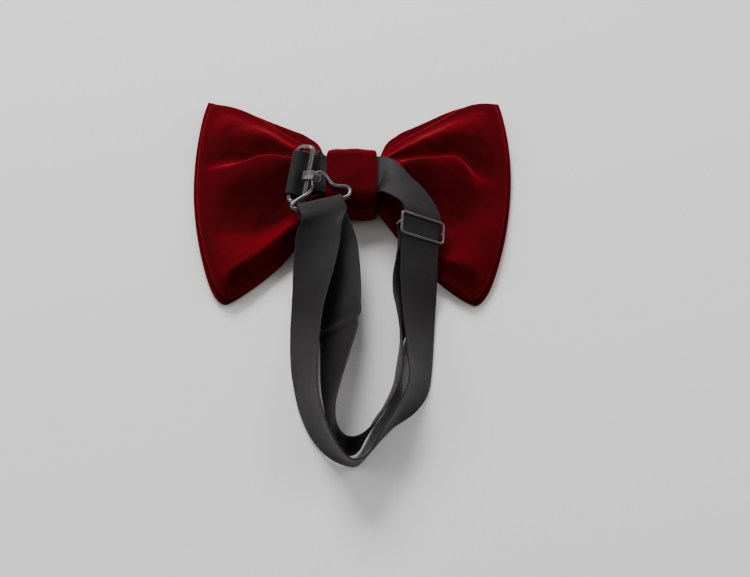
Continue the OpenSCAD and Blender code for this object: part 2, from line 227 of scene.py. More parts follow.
def new_group(name: str, inputs: Sequence[tuple[str, str, object]],
              outputs: Sequence[tuple[str, str]]) -> tuple[bpy.types.NodeTree, Graph,
                                        bpy.types.Node, bpy.types.Node]:
    """Make an empty node group with named sockets.

    Args:
        name: the group's name.
        inputs: each input's name, socket type and default value.
        outputs: each output's name and socket type.

    Returns:
        The group, its graph, and its input and output nodes.
    """
    tree = bpy.data.node_groups.new(name, "ShaderNodeTree")
    for label, kind, value in inputs:
        socket = tree.interface.new_socket(name=label, in_out="INPUT", socket_type=kind)
        if value is not None:
            socket.default_value = value
    for label, kind in outputs:
        tree.interface.new_socket(name=label, in_out="OUTPUT", socket_type=kind)
    graph = Graph(tree)
    return tree, graph, graph.add("NodeGroupInput"), graph.add("NodeGroupOutput")


def build_nap_group() -> bpy.types.NodeTree:
    """Pile that leans this way and that: soft patches, brushed streaks and fine tufts."""
    tree, g, start, end = new_group(
        "leaning_pile",
        [("Vector", "NodeSocketVector", None), ("Patch Scale", "NodeSocketFloat", 45.0),
         ("Tuft Scale", "NodeSocketFloat", 2600.0), ("Tuft Share", "NodeSocketFloat", 0.25)],
        [("Nap", "NodeSocketFloat"), ("Height", "NodeSocketFloat")])
    patch = g.add("TexNoise", in_Detail=4.0, in_Roughness=0.55)
    stretch = g.add("Mapping")
    stretch.inputs["Scale"].default_value = (1.0, 0.28, 1.0)
    stretch.inputs["Rotation"].default_value = (0.0, 0.0, 0.5)
    streak = g.add("TexNoise", in_Scale=420.0, in_Detail=3.0, in_Roughness=0.6)
    tuft = g.add("TexNoise", in_Detail=2.0, in_Roughness=0.7)
    g.join(start.outputs["Vector"], patch.inputs["Vector"])
    g.join(start.outputs["Patch Scale"], patch.inputs["Scale"])
    g.join(start.outputs["Vector"], stretch.inputs["Vector"])
    g.join(stretch.outputs["Vector"], streak.inputs["Vector"])
    g.join(start.outputs["Vector"], tuft.inputs["Vector"])
    g.join(start.outputs["Tuft Scale"], tuft.inputs["Scale"])
    soft = g.add("MapRange", in_From_Min=0.3, in_From_Max=0.7)
    g.join(patch.outputs["Fac"], soft.inputs["Value"])
    streaks = g.add("Mix", data_type="FLOAT")
    streaks.inputs["Factor"].default_value = 0.3
    g.join(soft.outputs["Result"], streaks.inputs["A"])
    g.join(streak.outputs["Fac"], streaks.inputs["B"])
    tufts = g.add("Mix", data_type="FLOAT")
    g.join(start.outputs["Tuft Share"], tufts.inputs["Factor"])
    g.join(streaks.outputs["Result"], tufts.inputs["A"])
    g.join(tuft.outputs["Fac"], tufts.inputs["B"])
    g.join(tufts.outputs["Result"], end.inputs["Nap"])
    g.join(tuft.outputs["Fac"], end.inputs["Height"])
    return tree


def build_weave_group() -> bpy.types.NodeTree:
    """Warp and weft of a narrow ribbon, from its own map in metres."""
    tree, g, start, end = new_group(
        "ribbon_weave",
        [("Vector", "NodeSocketVector", None), ("Ribs Per Metre", "NodeSocketFloat", 2400.0),
         ("Warps Per Metre", "NodeSocketFloat", 3200.0)],
        [("Height", "NodeSocketFloat"), ("Shade", "NodeSocketFloat")])
    split = g.add("SeparateXYZ")
    g.join(start.outputs["Vector"], split.inputs["Vector"])

    def ridge(axis: str, rate: str) -> bpy.types.NodeSocket:
        """One set of rounded threads across an axis of the map."""
        times = g.add("Math", operation="MULTIPLY")
        g.join(split.outputs[axis], times.inputs[0])
        g.join(start.outputs[rate], times.inputs[1])
        turn = g.add("Math", operation="MULTIPLY")
        g.join(times.outputs[0], turn.inputs[0])
        turn.inputs[1].default_value = math.pi
        wave = g.add("Math", operation="SINE")
        g.join(turn.outputs[0], wave.inputs[0])
        size = g.add("Math", operation="ABSOLUTE")
        g.join(wave.outputs[0], size.inputs[0])
        return size.outputs[0]

    weft, warp = ridge("Y", "Ribs Per Metre"), ridge("X", "Warps Per Metre")
    both = g.add("Mix", data_type="FLOAT")
    both.inputs["Factor"].default_value = 0.35
    g.join(weft, both.inputs["A"])
    g.join(warp, both.inputs["B"])
    slub = g.add("TexNoise", in_Scale=900.0, in_Detail=3.0)
    g.join(start.outputs["Vector"], slub.inputs["Vector"])
    height = g.add("Mix", data_type="FLOAT")
    height.inputs["Factor"].default_value = 0.3
    g.join(both.outputs["Result"], height.inputs["A"])
    g.join(slub.outputs["Fac"], height.inputs["B"])
    g.join(height.outputs["Result"], end.inputs["Height"])
    g.join(both.outputs["Result"], end.inputs["Shade"])
    return tree


def build_wear_group() -> bpy.types.NodeTree:
    """Slight unevenness of a dipped coat, with a few rubbed spots."""
    tree, g, start, end = new_group(
        "handled_coat",
        [("Vector", "NodeSocketVector", None), ("Scale", "NodeSocketFloat", 260.0)],
        [("Rub", "NodeSocketFloat"), ("Height", "NodeSocketFloat")])
    broad = g.add("TexNoise", in_Detail=5.0, in_Roughness=0.6)
    g.join(start.outputs["Vector"], broad.inputs["Vector"])
    g.join(start.outputs["Scale"], broad.inputs["Scale"])
    rub = g.add("MapRange", in_From_Min=0.56, in_From_Max=0.72)
    g.join(broad.outputs["Fac"], rub.inputs["Value"])
    fine = g.add("TexNoise", in_Scale=1400.0, in_Detail=2.0)
    g.join(start.outputs["Vector"], fine.inputs["Vector"])
    g.join(rub.outputs["Result"], end.inputs["Rub"])
    g.join(fine.outputs["Fac"], end.inputs["Height"])
    return tree


Colour = tuple[float, float, float]


@dataclass(frozen=True)
class Velvet:
    """Short-pile velvet: dark when seen from above the pile, bright at its edges; this brightening is painted
    sheen and a painted rim highlight in the base colour, driven by the view angle.
    """

    name: str
    deep: Colour
    crown: Colour
    # The next two colours are painted light: a painted sheen towards grazing angles and a painted rim
    # highlight, mixed into the base colour by view angle.
    edge: Colour
    rim_highlight: Colour
    sheen: Colour
    sheen_weight: float = 0.14
    patch_scale: float = 45.0

    def material(self, nap: bpy.types.NodeTree) -> bpy.types.Material:
        """Build the material.

        Args:
            nap: the shared pile group.

        Returns:
            The material.
        """
        material = bpy.data.materials.new(self.name)
        material.use_nodes = True
        g = Graph(material.node_tree)
        out = g.add("OutputMaterial")
        shader = g.add("BsdfPrincipled", in_Roughness=0.85, in_Sheen_Weight=self.sheen_weight,
                       in_Sheen_Roughness=0.32, in_Sheen_Tint=(*self.sheen, 1.0), in_Specular_IOR_Level=0.03)
        g.join(shader.outputs["BSDF"], out.inputs["Surface"])
        place = g.add("TexCoord")
        pile = g.add("Group", node_tree=nap, in_Patch_Scale=self.patch_scale)
        g.join(place.outputs["Object"], pile.inputs["Vector"])
        colour = g.add("Mix", data_type="RGBA")
        colour.inputs[6].default_value = (*self.deep, 1.0)
        colour.inputs[7].default_value = (*self.crown, 1.0)
        g.join(pile.outputs["Nap"], colour.inputs[0])
        # Painted sheen: the base colour moves to the edge colour as the surface turns away from the view, so
        # parts facing the view are painted darker.
        view_facing = g.add("LayerWeight", in_Blend=0.45)
        turned = g.add("MapRange", in_From_Min=0.08, in_From_Max=0.75)
        g.join(view_facing.outputs["Facing"], turned.inputs["Value"])
        painted_sheen = g.add("Mix", data_type="RGBA")
        g.join(turned.outputs["Result"], painted_sheen.inputs[0])
        g.join(colour.outputs[2], painted_sheen.inputs[6])
        painted_sheen.inputs[7].default_value = (*self.edge, 1.0)
        # Painted rim highlight: a thin bright rim where the surface is seen almost edge-on.
        brim = g.add("MapRange", in_From_Min=0.7, in_From_Max=1.0)
        g.join(view_facing.outputs["Facing"], brim.inputs["Value"])
        rim_highlight = g.add("Mix", data_type="RGBA")
        g.join(brim.outputs["Result"], rim_highlight.inputs[0])
        g.join(painted_sheen.outputs[2], rim_highlight.inputs[6])
        rim_highlight.inputs[7].default_value = (*self.rim_highlight, 1.0)
        g.join(rim_highlight.outputs[2], shader.inputs["Base Color"])
        bump = g.add("Bump", in_Strength=0.35, in_Distance=0.00012)
        g.join(pile.outputs["Height"], bump.inputs["Height"])
        g.join(bump.outputs["Normal"], shader.inputs["Normal"])
        return material


@dataclass(frozen=True)
class Ribbon:
    """Close-woven strap ribbon with fine cross ribs, from the strap's own map."""

    name: str
    base: Colour
    lifted: Colour
    roughness: float = 0.58

    def material(self, weave: bpy.types.NodeTree, nap: bpy.types.NodeTree) -> bpy.types.Material:
        """Build the material.

        Args:
            weave: the shared thread group.
            nap: the shared pile group, used here for dust and slight fading.

        Returns:
            The material.
        """
        material = bpy.data.materials.new(self.name)
        material.use_nodes = True
        g = Graph(material.node_tree)
        out = g.add("OutputMaterial")
        shader = g.add("BsdfPrincipled", in_Roughness=self.roughness, in_Sheen_Weight=0.06,
                       in_Sheen_Roughness=0.4, in_Sheen_Tint=(0.75, 0.72, 0.72, 1.0),
                       in_Specular_IOR_Level=0.2)
        g.join(shader.outputs["BSDF"], out.inputs["Surface"])
        strap_map = g.add("UVMap", uv_map="cloth")
        threads = g.add("Group", node_tree=weave)
        g.join(strap_map.outputs["UV"], threads.inputs["Vector"])
        place = g.add("TexCoord")
        fade = g.add("Group", node_tree=nap, in_Patch_Scale=90.0, in_Tuft_Share=0.1)
        g.join(place.outputs["Object"], fade.inputs["Vector"])
        both = g.add("Mix", data_type="FLOAT")
        both.inputs[0].default_value = 0.45
        g.join(threads.outputs["Shade"], both.inputs[2])
        g.join(fade.outputs["Nap"], both.inputs[3])
        colour = g.add("Mix", data_type="RGBA")
        colour.inputs[6].default_value = (*self.base, 1.0)
        colour.inputs[7].default_value = (*self.lifted, 1.0)
        g.join(both.outputs[0], colour.inputs[0])
        g.join(colour.outputs[2], shader.inputs["Base Color"])
        rough = g.add("MapRange", in_To_Min=self.roughness - 0.08, in_To_Max=self.roughness + 0.12)
        g.join(both.outputs[0], rough.inputs["Value"])
        g.join(rough.outputs["Result"], shader.inputs["Roughness"])
        bump = g.add("Bump", in_Strength=0.45, in_Distance=0.00008)
        g.join(threads.outputs["Height"], bump.inputs["Height"])
        g.join(bump.outputs["Normal"], shader.inputs["Normal"])
        return material


@dataclass(frozen=True)
class Enamel:
    """Glossy dark coat on bent wire."""

    name: str
    coat: Colour
    rubbed: Colour

    def material(self, wear: bpy.types.NodeTree) -> bpy.types.Material:
        """Build the material.

        Args:
            wear: the shared coat group.

        Returns:
            The material.
        """
        material = bpy.data.materials.new(self.name)
        material.use_nodes = True
        g = Graph(material.node_tree)
        out = g.add("OutputMaterial")
        shader = g.add("BsdfPrincipled", in_Roughness=0.3, in_Coat_Weight=0.6, in_Coat_Roughness=0.12,
                       in_Metallic=0.0, in_Specular_IOR_Level=0.6)
        g.join(shader.outputs["BSDF"], out.inputs["Surface"])
        place = g.add("TexCoord")
        coat = g.add("Group", node_tree=wear)
        g.join(place.outputs["Object"], coat.inputs["Vector"])
        colour = g.add("Mix", data_type="RGBA")
        colour.inputs[6].default_value = (*self.coat, 1.0)
        colour.inputs[7].default_value = (*self.rubbed, 1.0)
        g.join(coat.outputs["Rub"], colour.inputs[0])
        g.join(colour.outputs[2], shader.inputs["Base Color"])
        rough = g.add("MapRange", in_To_Min=0.26, in_To_Max=0.42)
        g.join(coat.outputs["Rub"], rough.inputs["Value"])
        g.join(rough.outputs["Result"], shader.inputs["Roughness"])
        bump = g.add("Bump", in_Strength=0.06, in_Distance=0.00003)
        g.join(coat.outputs["Height"], bump.inputs["Height"])
        g.join(bump.outputs["Normal"], shader.inputs["Normal"])
        return material


@dataclass(frozen=True)
class Thread:
    """Matt spun thread or canvas, with a twist too fine to model."""

    name: str
    base: Colour
    lifted: Colour
    scale: float = 1800.0

    def material(self, nap: bpy.types.NodeTree) -> bpy.types.Material:
        """Build the material from the shared pile group."""
        material = bpy.data.materials.new(self.name)
        material.use_nodes = True
        g = Graph(material.node_tree)
        out = g.add("OutputMaterial")
        shader = g.add("BsdfPrincipled", in_Roughness=0.8, in_Sheen_Weight=0.2, in_Specular_IOR_Level=0.2)
        g.join(shader.outputs["BSDF"], out.inputs["Surface"])
        place = g.add("TexCoord")
        spin = g.add("Group", node_tree=nap, in_Tuft_Scale=self.scale, in_Tuft_Share=0.6)
        g.join(place.outputs["Object"], spin.inputs["Vector"])
        colour = g.add("Mix", data_type="RGBA")
        colour.inputs[6].default_value = (*self.base, 1.0)
        colour.inputs[7].default_value = (*self.lifted, 1.0)
        g.join(spin.outputs["Nap"], colour.inputs[0])
        g.join(colour.outputs[2], shader.inputs["Base Color"])
        bump = g.add("Bump", in_Strength=0.5, in_Distance=0.0001)
        g.join(spin.outputs["Height"], bump.inputs["Height"])
        g.join(bump.outputs["Normal"], shader.inputs["Normal"])
        return material


class Finishes:
    """Every material of the tie, built once."""

    def __init__(self) -> None:
        """Build the shared groups and the materials."""
        nap, weave, wear = build_nap_group(), build_weave_group(), build_wear_group()
        # The velvet's third and fourth colours are painted light: a painted sheen and a painted rim
        # highlight.
        self.velvet = Velvet("crimson_velvet", (0.019, 0.0002, 0.0007), (0.046, 0.0005, 0.0016),
                             (0.145, 0.001, 0.0055), (0.27, 0.018, 0.034), (0.95, 0.12, 0.2)).material(nap)
        self.ribbon = Ribbon("black_ribbon", (0.0052, 0.0044, 0.0049),
                             (0.0125, 0.0108, 0.0115)).material(weave, nap)
        self.enamel = Enamel("dark_enamel", (0.03, 0.027, 0.029), (0.10, 0.095, 0.095)).material(wear)
        self.thread = Thread("black_thread", (0.012, 0.012, 0.013), (0.05, 0.05, 0.052)).material(nap)
        self.red_thread = Thread("crimson_thread", (0.08, 0.002, 0.006), (0.2, 0.01, 0.02)).material(nap)
        self.canvas = Thread("interlining_canvas", (0.45, 0.42, 0.36),
                             (0.66, 0.62, 0.54), 1100.0).material(nap)


# ---------------------------------------------------------------- the bow
class Side(Enum):
    """The two wings, as seen from the bow's back."""

    LEFT = -1
    RIGHT = 1


@dataclass(frozen=True)
class Folds:
    """Where a wing's folds run: v from -1 (lower edge) to 1 (upper edge), u out from the knot."""

    ridge_u: tuple[float, ...]
    ridge_v: tuple[float, ...]
    ridge_h: tuple[float, ...]
    crease_u: tuple[float, ...]
    crease_v: tuple[float, ...]
    lobe_u: tuple[float, ...]
    lobe_h: tuple[float, ...]
    panel_u: tuple[float, ...]
    panel_h: tuple[float, ...]
    front_over: tuple[float, ...]
    rear_over: tuple[float, ...]

    def height(self, u: Vec, v: Vec, half: Vec) -> Vec:
        """Height of the folds over the flat wing.

        Args:
            u: distance out from the knot, 0 to 1.
            v: place between the lower and the upper edge, -1 to 1.
            half: half the wing's height there, in millimetres.

        Returns:
            Heights in millimetres.
        """
        ridge = glide(u, self.ridge_u, self.ridge_v)
        crease = glide(u, self.crease_u, self.crease_v)
        s = (v - ridge) * half
        reach = np.maximum((ridge - crease) * half * 0.55, 3.0)
        below = np.exp(-np.power(np.abs(np.minimum(s, 0)) / reach, 2.2))
        above = 0.1 + 0.9 * np.exp(-np.power(np.maximum(s, 0) / 3.0, 1.8))
        fade = ease((1 - v) / 0.35)
        swell = glide(u, (0, 0.15, 0.45, 0.66, 0.8, 1), self.ridge_h) * np.where(s < 0, below, above * fade)
        low = (v - crease) / (-1 - crease)
        lobe = glide(u, self.lobe_u, self.lobe_h) * ease(low / 0.84) * ease((1 - low) / 0.28 + 0.02)
        high = (v - ridge - 0.06) / (1 - ridge - 0.06)
        panel = glide(u, self.panel_u, self.panel_h) * ease(high / 0.55) * ease((1 - high) / 0.5 + 0.02)
        return swell + np.where(low > 0, lobe, 0) + np.where(high > 0, panel, 0)


OVER_U = (0, 0.05, 0.15, 0.3, 0.5, 0.66, 0.82, 0.93, 1)
LEFT_FOLDS = Folds(
    ridge_u=(0, 0.16, 0.29, 0.45, 0.53, 0.62, 0.71, 0.89, 1),
    ridge_v=(0.42, 0.41, 0.38, 0.37, 0.34, 0.27, 0.24, 0.24, 0.25),
    ridge_h=(1.2, 5.4, 7.8, 6.2, 3.6, 0.5),
    crease_u=(0, 0.24, 0.38, 0.61, 0.97, 1), crease_v=(-0.35, -0.44, -0.48, -0.42, -0.31, -0.3),
    lobe_u=(0, 0.2, 0.5, 0.8, 0.94, 1), lobe_h=(0.4, 3.4, 6.4, 6.2, 4.2, 1.0),
    panel_u=(0, 0.2, 0.5, 0.8, 1), panel_h=(0.3, 2.0, 3.6, 2.6, 0.4),
    front_over=(0, 6.4, 9.4, 10.0, 9.2, 7.4, 3.9, 1.4, 0),
    rear_over=(0, 1.2, 2.4, 4.0, 6.6, 7.0, 5.0, 2.2, 0))
RIGHT_FOLDS = Folds(
    ridge_u=(0, 0.1, 0.28, 0.42, 0.54, 0.62, 0.67, 0.72, 1),
    ridge_v=(0.44, 0.39, 0.33, 0.33, 0.34, 0.31, 0.25, 0.18, 0.1),
    ridge_h=(1.5, 5.4, 7.4, 5.6, 1.4, 0.2),
    crease_u=(0, 0.25, 0.45, 0.66, 0.83, 0.98, 1), crease_v=(-0.4, -0.42, -0.39, -0.27, -0.14, -0.07, -0.07),
    lobe_u=(0, 0.2, 0.5, 0.8, 0.94, 1), lobe_h=(0.4, 1.1, 2.1, 4.8, 4.4, 1.2),
    panel_u=(0, 0.2, 0.5, 0.8, 1), panel_h=(0.5, 2.2, 3.4, 3.2, 0.5),
    front_over=(0, 6.8, 10.4, 11.8, 11.4, 9.4, 5.8, 2.6, 0),
    rear_over=(0, 1.6, 3.8, 6.0, 8.2, 8.2, 6.0, 2.8, 0))

FOLDS = {Side.LEFT: LEFT_FOLDS, Side.RIGHT: RIGHT_FOLDS}


@dataclass
class Butterfly:
    """One of the two stacked butterflies: a flat velvet bag, gathered at the waist.

    Sizes are in millimetres and match the bow's solids.
    """

    name: str
    nodes: tuple[str, ...]
    level: float
    grow: float
    rise: float
    top_share: float
    low_share: float
    seed: int
    low_drop: float
    half_t: float = 1.15
    knot_w: float = 21.0
    waist_half: float = 11.5
    waist_lift: float = 3.6
    upper_lift: float = 2.6
    pleat_h: float = 2.3
    rim: float = 2.2
    wing_cols: int = 118
    knot_cols: int = 16
    lines: int = 132

    def plan(self, side: Side, u: Vec, v: Vec) -> tuple[Vec, Vec]:
        """Plan of a wing: distance from the middle and height up the bow, from its side, u and v."""
        folds = FOLDS[side]
        over = glide(u, OVER_U, folds.front_over if self.rise else folds.rear_over)
        s = (1 - v) / 2
        reach = 62.4 + (50.6 - 62.4) * s + 4 * 7.8 * s * (1 - s) + self.grow
        edge = 48.0 - (48.0 + 57.0) * s + self.rise * (1 - s) - self.low_drop * s
        swell = np.where(v > 0, over * v, 4 * u * (1 - u) * 5.5 * v)
        x = self.knot_w / 2 + (reach - self.knot_w / 2) * u
        y = self.waist_half * v * (1 - u) + edge * u + swell
        corner = np.power(u, 9) * np.power(np.abs(v), 11)
        soft = np.where(v < 0, 3.0, 0.4)
        return x - soft * 0.8 * corner, y - np.sign(v) * soft * corner

    def heights(self, side: Side, u: Vec, v: Vec) -> tuple[Vec, Vec]:
        """Heights of the bag's upper and lower skin, from u and v."""
        x, y = self.plan(side, u, v)
        _, top = self.plan(side, u, np.ones_like(v))
        _, low = self.plan(side, u, -np.ones_like(v))
        half_high = (top - low) / 2
        folds = FOLDS[side].height(u, v, half_high)
        lift = self.waist_lift * (1 - ease(u * 1.6)) + self.upper_lift * np.power(np.maximum(v, 0), 3) * (
            1 - ease(u * 2.2))
        pleat = self.pleat_h * (0.5 - 0.5 * np.cos(math.pi * 3 * (v + 1))) * (1 - ease(u * 3))
        gathers = (0.55 * np.sin(v * 17.0 + side.value * 0.7 + self.seed)
                   + 0.35 * np.sin(v * 29.0 + self.seed * 2.1))
        gathers = gathers * np.exp(-np.power(u / 0.2, 2)) * ease(u / 0.05) * (1 - np.power(np.abs(v), 6))
        soft = 0.3 * waves(x * side.value, y, self.seed, 26.0) * ease(u / 0.2) + 0.09 * waves(
            x * side.value, y, self.seed + 5, 8.0) * ease(u / 0.2)
        rim_x = (1 - u) * 46.0
        rim_y = (1 - np.abs(v)) * half_high
        rim = np.minimum(rim_x, rim_y)
        rim = np.where((rim_x < self.rim) & (rim_y < self.rim), self.rim - np.minimum(
            np.hypot(self.rim - rim_x, self.rim - rim_y), self.rim), rim)
        round_edge = np.sqrt(np.clip(1 - np.square(1 - np.clip(rim / self.rim, 0, 1)), 0, 1))
        inner = ease(rim / 9.0)
        half = self.half_t * round_edge
        base = self.level + lift + pleat
        wave_edge = (0.5 * np.sin(x * 0.13 + y * 0.1 * side.value + self.seed) * ease(u / 0.3)
                     + 0.35 * ease(u / 0.3))
        upper = base + half + self.top_share * (folds * (0.15 + 0.85 * inner)) + (
            self.top_share * (gathers + soft) * inner) + wave_edge
        lower = base - half + self.low_share * folds * inner + wave_edge
        return upper, lower

    def build(self) -> bpy.types.Object:
        """Build the bag's mesh.

        Returns:
            The piece, closed all round.
        """
        t = np.linspace(-1, 1, self.lines + 1)
        v_line = np.sign(t) * (1 - np.power(1 - np.abs(t), 1.35))
        u_line = 1 - np.power(np.linspace(1, 0, self.wing_cols + 1), 1.25)
        cols: list[tuple[Side, float, float | None]] = []
        for u in u_line[::-1]:
            cols.append((Side.LEFT, float(u), None))
        for k in range(1, self.knot_cols):
            cols.append((Side.RIGHT, 0.0, (k / self.knot_cols * 2 - 1) * self.knot_w / 2))
        for u in u_line:
            cols.append((Side.RIGHT, float(u), None))
        upper, lower = [], []
        for side, u, inside in cols:
            uu = np.full_like(v_line, u)
            x, y = self.plan(side, uu, v_line)
            x = side.value * x if inside is None else np.full_like(v_line, inside)
            high, low = self.heights(side, uu, v_line)
            upper.append(np.column_stack([x, y, high]))
            lower.append(np.column_stack([x, y, low]))
        top, bottom = np.array(upper), np.array(lower)
        bottom[..., 2] = np.maximum(bottom[..., 2], 0.05)
        n_c, n_r = top.shape[:2]
        points = np.concatenate([top.reshape(-1, 3), bottom.reshape(-1, 3)])
        ids = np.arange(n_c * n_r).reshape(n_c, n_r)
        quads = np.stack([ids[:-1, :-1], ids[:-1, 1:], ids[1:, 1:], ids[1:, :-1]], -1).reshape(-1, 4)
        faces = np.concatenate([quads, quads[:, ::-1] + n_c * n_r])
        loop = np.concatenate([ids[:, 0], ids[-1, 1:], ids[-2::-1, -1], ids[0, -2:0:-1]])
        nxt = np.roll(loop, -1)
        rim = np.stack([loop, nxt, nxt + n_c * n_r, loop + n_c * n_r], -1)
        return mesh_piece(self.name, points, np.concatenate([faces, rim]).tolist(), weld=0.004)

    def make(self, finishes: Finishes) -> bpy.types.Object:
        piece = self.build()
        dress(piece, finishes.velvet)
        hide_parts(*self.nodes)
        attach(piece, "bow")
        LOG.info("%s: %d faces", self.name, len(piece.data.polygons))
        return piece


@dataclass
class Knot:
    """The velvet wrap round the waist, its ends turned in."""

    width: float = 21.0
    length: float = 29.0
    thick: float = 17.0
    wall: float = 1.0
    corner: float = 6.0
    swell: float = 0.7
    around: int = 200
    lines: int = 46

    def outline(self, inset: float) -> Vec:
        """The wrap's outline in Y and Z, evenly spaced, moved in by inset."""
        a, b, r = self.length / 2 - inset, self.thick / 2 - inset, self.corner - inset
        corners = [(a - r, b - r, 0), (-a + r, b - r, 90), (-a + r, -b + r, 180), (a - r, -b + r, 270)]
        path = [(cx + r * math.cos(math.radians(s + k * 5)), cz + r * math.sin(math.radians(s + k * 5)))
                for cx, cz, s in corners for k in range(19)]
        path.append(path[0])
        p = np.array(path)
        walk = np.concatenate([[0], np.cumsum(np.linalg.norm(np.diff(p, axis=0), axis=1))])
        at = np.linspace(0, walk[-1], self.around, endpoint=False)
        return np.column_stack([np.interp(at, walk, p[:, 0]), np.interp(at, walk, p[:, 1])])

    def make(self, finishes: Finishes) -> bpy.types.Object:
        outer, inner = self.outline(0.0), self.outline(self.wall)
        normal = outer - inner
        normal = normal / np.linalg.norm(normal, axis=1)[:, None]
        t = np.linspace(-1, 1, self.lines)
        span = np.sign(t) * (1 - np.power(1 - np.abs(t), 1.6))
        angle = np.arange(self.around) / self.around * 2 * math.pi
        rings = []
        for s in span:
            taper = 1 - 0.075 * np.power(np.abs(outer[:, 0]) / (self.length / 2), 6)
            x = s * self.width / 2 * taper
            roll = math.sqrt(max(0.0, 1 - max(0.0, (abs(s) - 0.9) / 0.1) ** 2))
            puff = self.swell * (1 - s ** 4) - 0.8 * (1 - roll)
            crush = (0.16 * np.sin(angle * 5 + s * 2.1 + 0.4) * (1 - s * s)
                     + 0.12 * np.sin(s * 7.0 + np.sin(angle) * 1.5))
            off = puff + crush
            ring = outer + normal * off[:, None]
            ring[:, 1] = np.maximum(ring[:, 1], -self.thick / 2 + 0.03)
            rings.append(np.column_stack([x, ring[:, 0], ring[:, 1] + self.thick / 2]))
        for s in span[::-1]:
            x = s * (self.width / 2 - 0.02) * taper
            rings.append(np.column_stack([x, inner[:, 0], inner[:, 1] + self.thick / 2]))
        points = np.concatenate(rings)
        n, m = len(rings), self.around
        faces = [(i * m + k, i * m + (k + 1) % m, ((i + 1) % n) * m + (k + 1) % m, ((i + 1) % n) * m + k)
                 for i in range(n) for k in range(m)]
        piece = mesh_piece("knot_wrap_velvet", points, faces)
        dress(piece, finishes.velvet)
        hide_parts("knot_wrap")
        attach(piece, "bow")
        LOG.info("knot: %d faces", len(piece.data.polygons))
        return piece


# ---------------------------------------------------------------- places shared by the fittings and the strap
class Place:
    """An origin with three unit directions, all in millimetres."""

    def __init__(self, origin: Sequence[float], x: Vec, y: Vec, z: Vec) -> None:
        """Keep the origin and the directions."""
        self.o, self.x, self.y, self.z = np.asarray(origin, float), x, y, z

    def at(self, a: float, b: float, c: float) -> Vec:
        """The point a along x, b along y and c along z."""
        return self.o + self.x * a + self.y * b + self.z * c

    def row(self, a: float, c: float, turn: float, rise: float, b: float = 0.0) -> Row:
        """A strap row at a along x and c along z."""
        p = self.at(a, b, c)
        return (float(p[0]), float(p[1]), float(p[2]), turn, rise)


STRAP_W, STRAP_T = 19.0, 0.7
KNOT_HALF = 10.5
BAND_Z = 17.0 - 1.0 - 0.4 - 0.5 - 0.35 - STRAP_T / 2
CLEAR = 0.3

EYE_ALONG = unit([0.17, 0.92, 0.35])
EYE_FLAT = unit(np.cross(np.cross(EYE_ALONG, [1, -0.35, 0.4]), EYE_ALONG))
EYE_UP = np.cross(EYE_FLAT, EYE_ALONG)
EYE = Place([-KNOT_HALF - 13, -2.8, BAND_Z + 4.4], EYE_FLAT, EYE_ALONG, EYE_UP)
EYE_TURN = math.degrees(math.atan2(EYE_ALONG[1], EYE_ALONG[0]))
EYE_RISE = math.degrees(math.asin(EYE_ALONG[2]))
EYE_WIRE, EYE_SPAN = 2.0, 7.0

SLIDE_DIR = unit([-0.05, -0.95, -0.28])
SLIDER_UP = unit(np.cross(unit([-0.79, -0.176, 0.588]), SLIDE_DIR))
SLIDER_ACROSS = np.cross(SLIDE_DIR, SLIDER_UP)
SLIDER = Place([27.9, -29.0, 17.7], SLIDE_DIR, -SLIDER_ACROSS, SLIDER_UP)
SLIDER_TURN = 180 + math.degrees(math.atan2(-SLIDER_ACROSS[1], -SLIDER_ACROSS[0]))
SLIDER_RISE = math.degrees(math.asin(SLIDER_ACROSS[2]))
SLIDER_WIRE, SLIDER_L = 1.1, 8.6
SLIDER_LEN = STRAP_W + 1.2 + SLIDER_WIRE
FRAME_LIFT = STRAP_T / 2 + CLEAR + SLIDER_WIRE / 2
BAR_R = SLIDER_WIRE / 2 + 0.08 + STRAP_T / 2
BAR_DROP = STRAP_T + CLEAR - 0.03 + BAR_R

HOOK_ALONG = unit([19, 7, -1.5])
HOOK_IN = unit(np.cross(np.cross(HOOK_ALONG, [-0.345, 0.936, 0.05]), HOOK_ALONG))
HOOK_UP = np.cross(HOOK_ALONG, HOOK_IN)
HOOK = Place([-11.8, -17.4, BAND_Z + 4.3], HOOK_ALONG, HOOK_IN, HOOK_UP)
HOOK_TURN = math.degrees(math.atan2(HOOK_ALONG[1], HOOK_ALONG[0]))
HOOK_RISE = math.degrees(math.asin(HOOK_ALONG[2]))
HOOK_WIRE, HOOK_SLACK = 1.8, 0.7


def slider_row(t: float, n: float) -> Row:
    """A strap row at t along the slider and n up out of the strap."""
    return SLIDER.row(t, n, SLIDER_TURN, SLIDER_RISE)


def fold_row(d: float, h: float) -> Row:
    """A strap row round the hook's bar."""
    p = HOOK.at(-HOOK_SLACK, -d, h)
    return (float(p[0]), float(p[1]), float(p[2]), HOOK_TURN, HOOK_RISE)


def band_row(f: float, n: float) -> Row:
    """A row of the short band, round the eye's bar."""
    p = EYE.at(f, 0.6, n)
    return (float(p[0]), float(p[1]), float(p[2]), EYE_TURN, EYE_RISE)


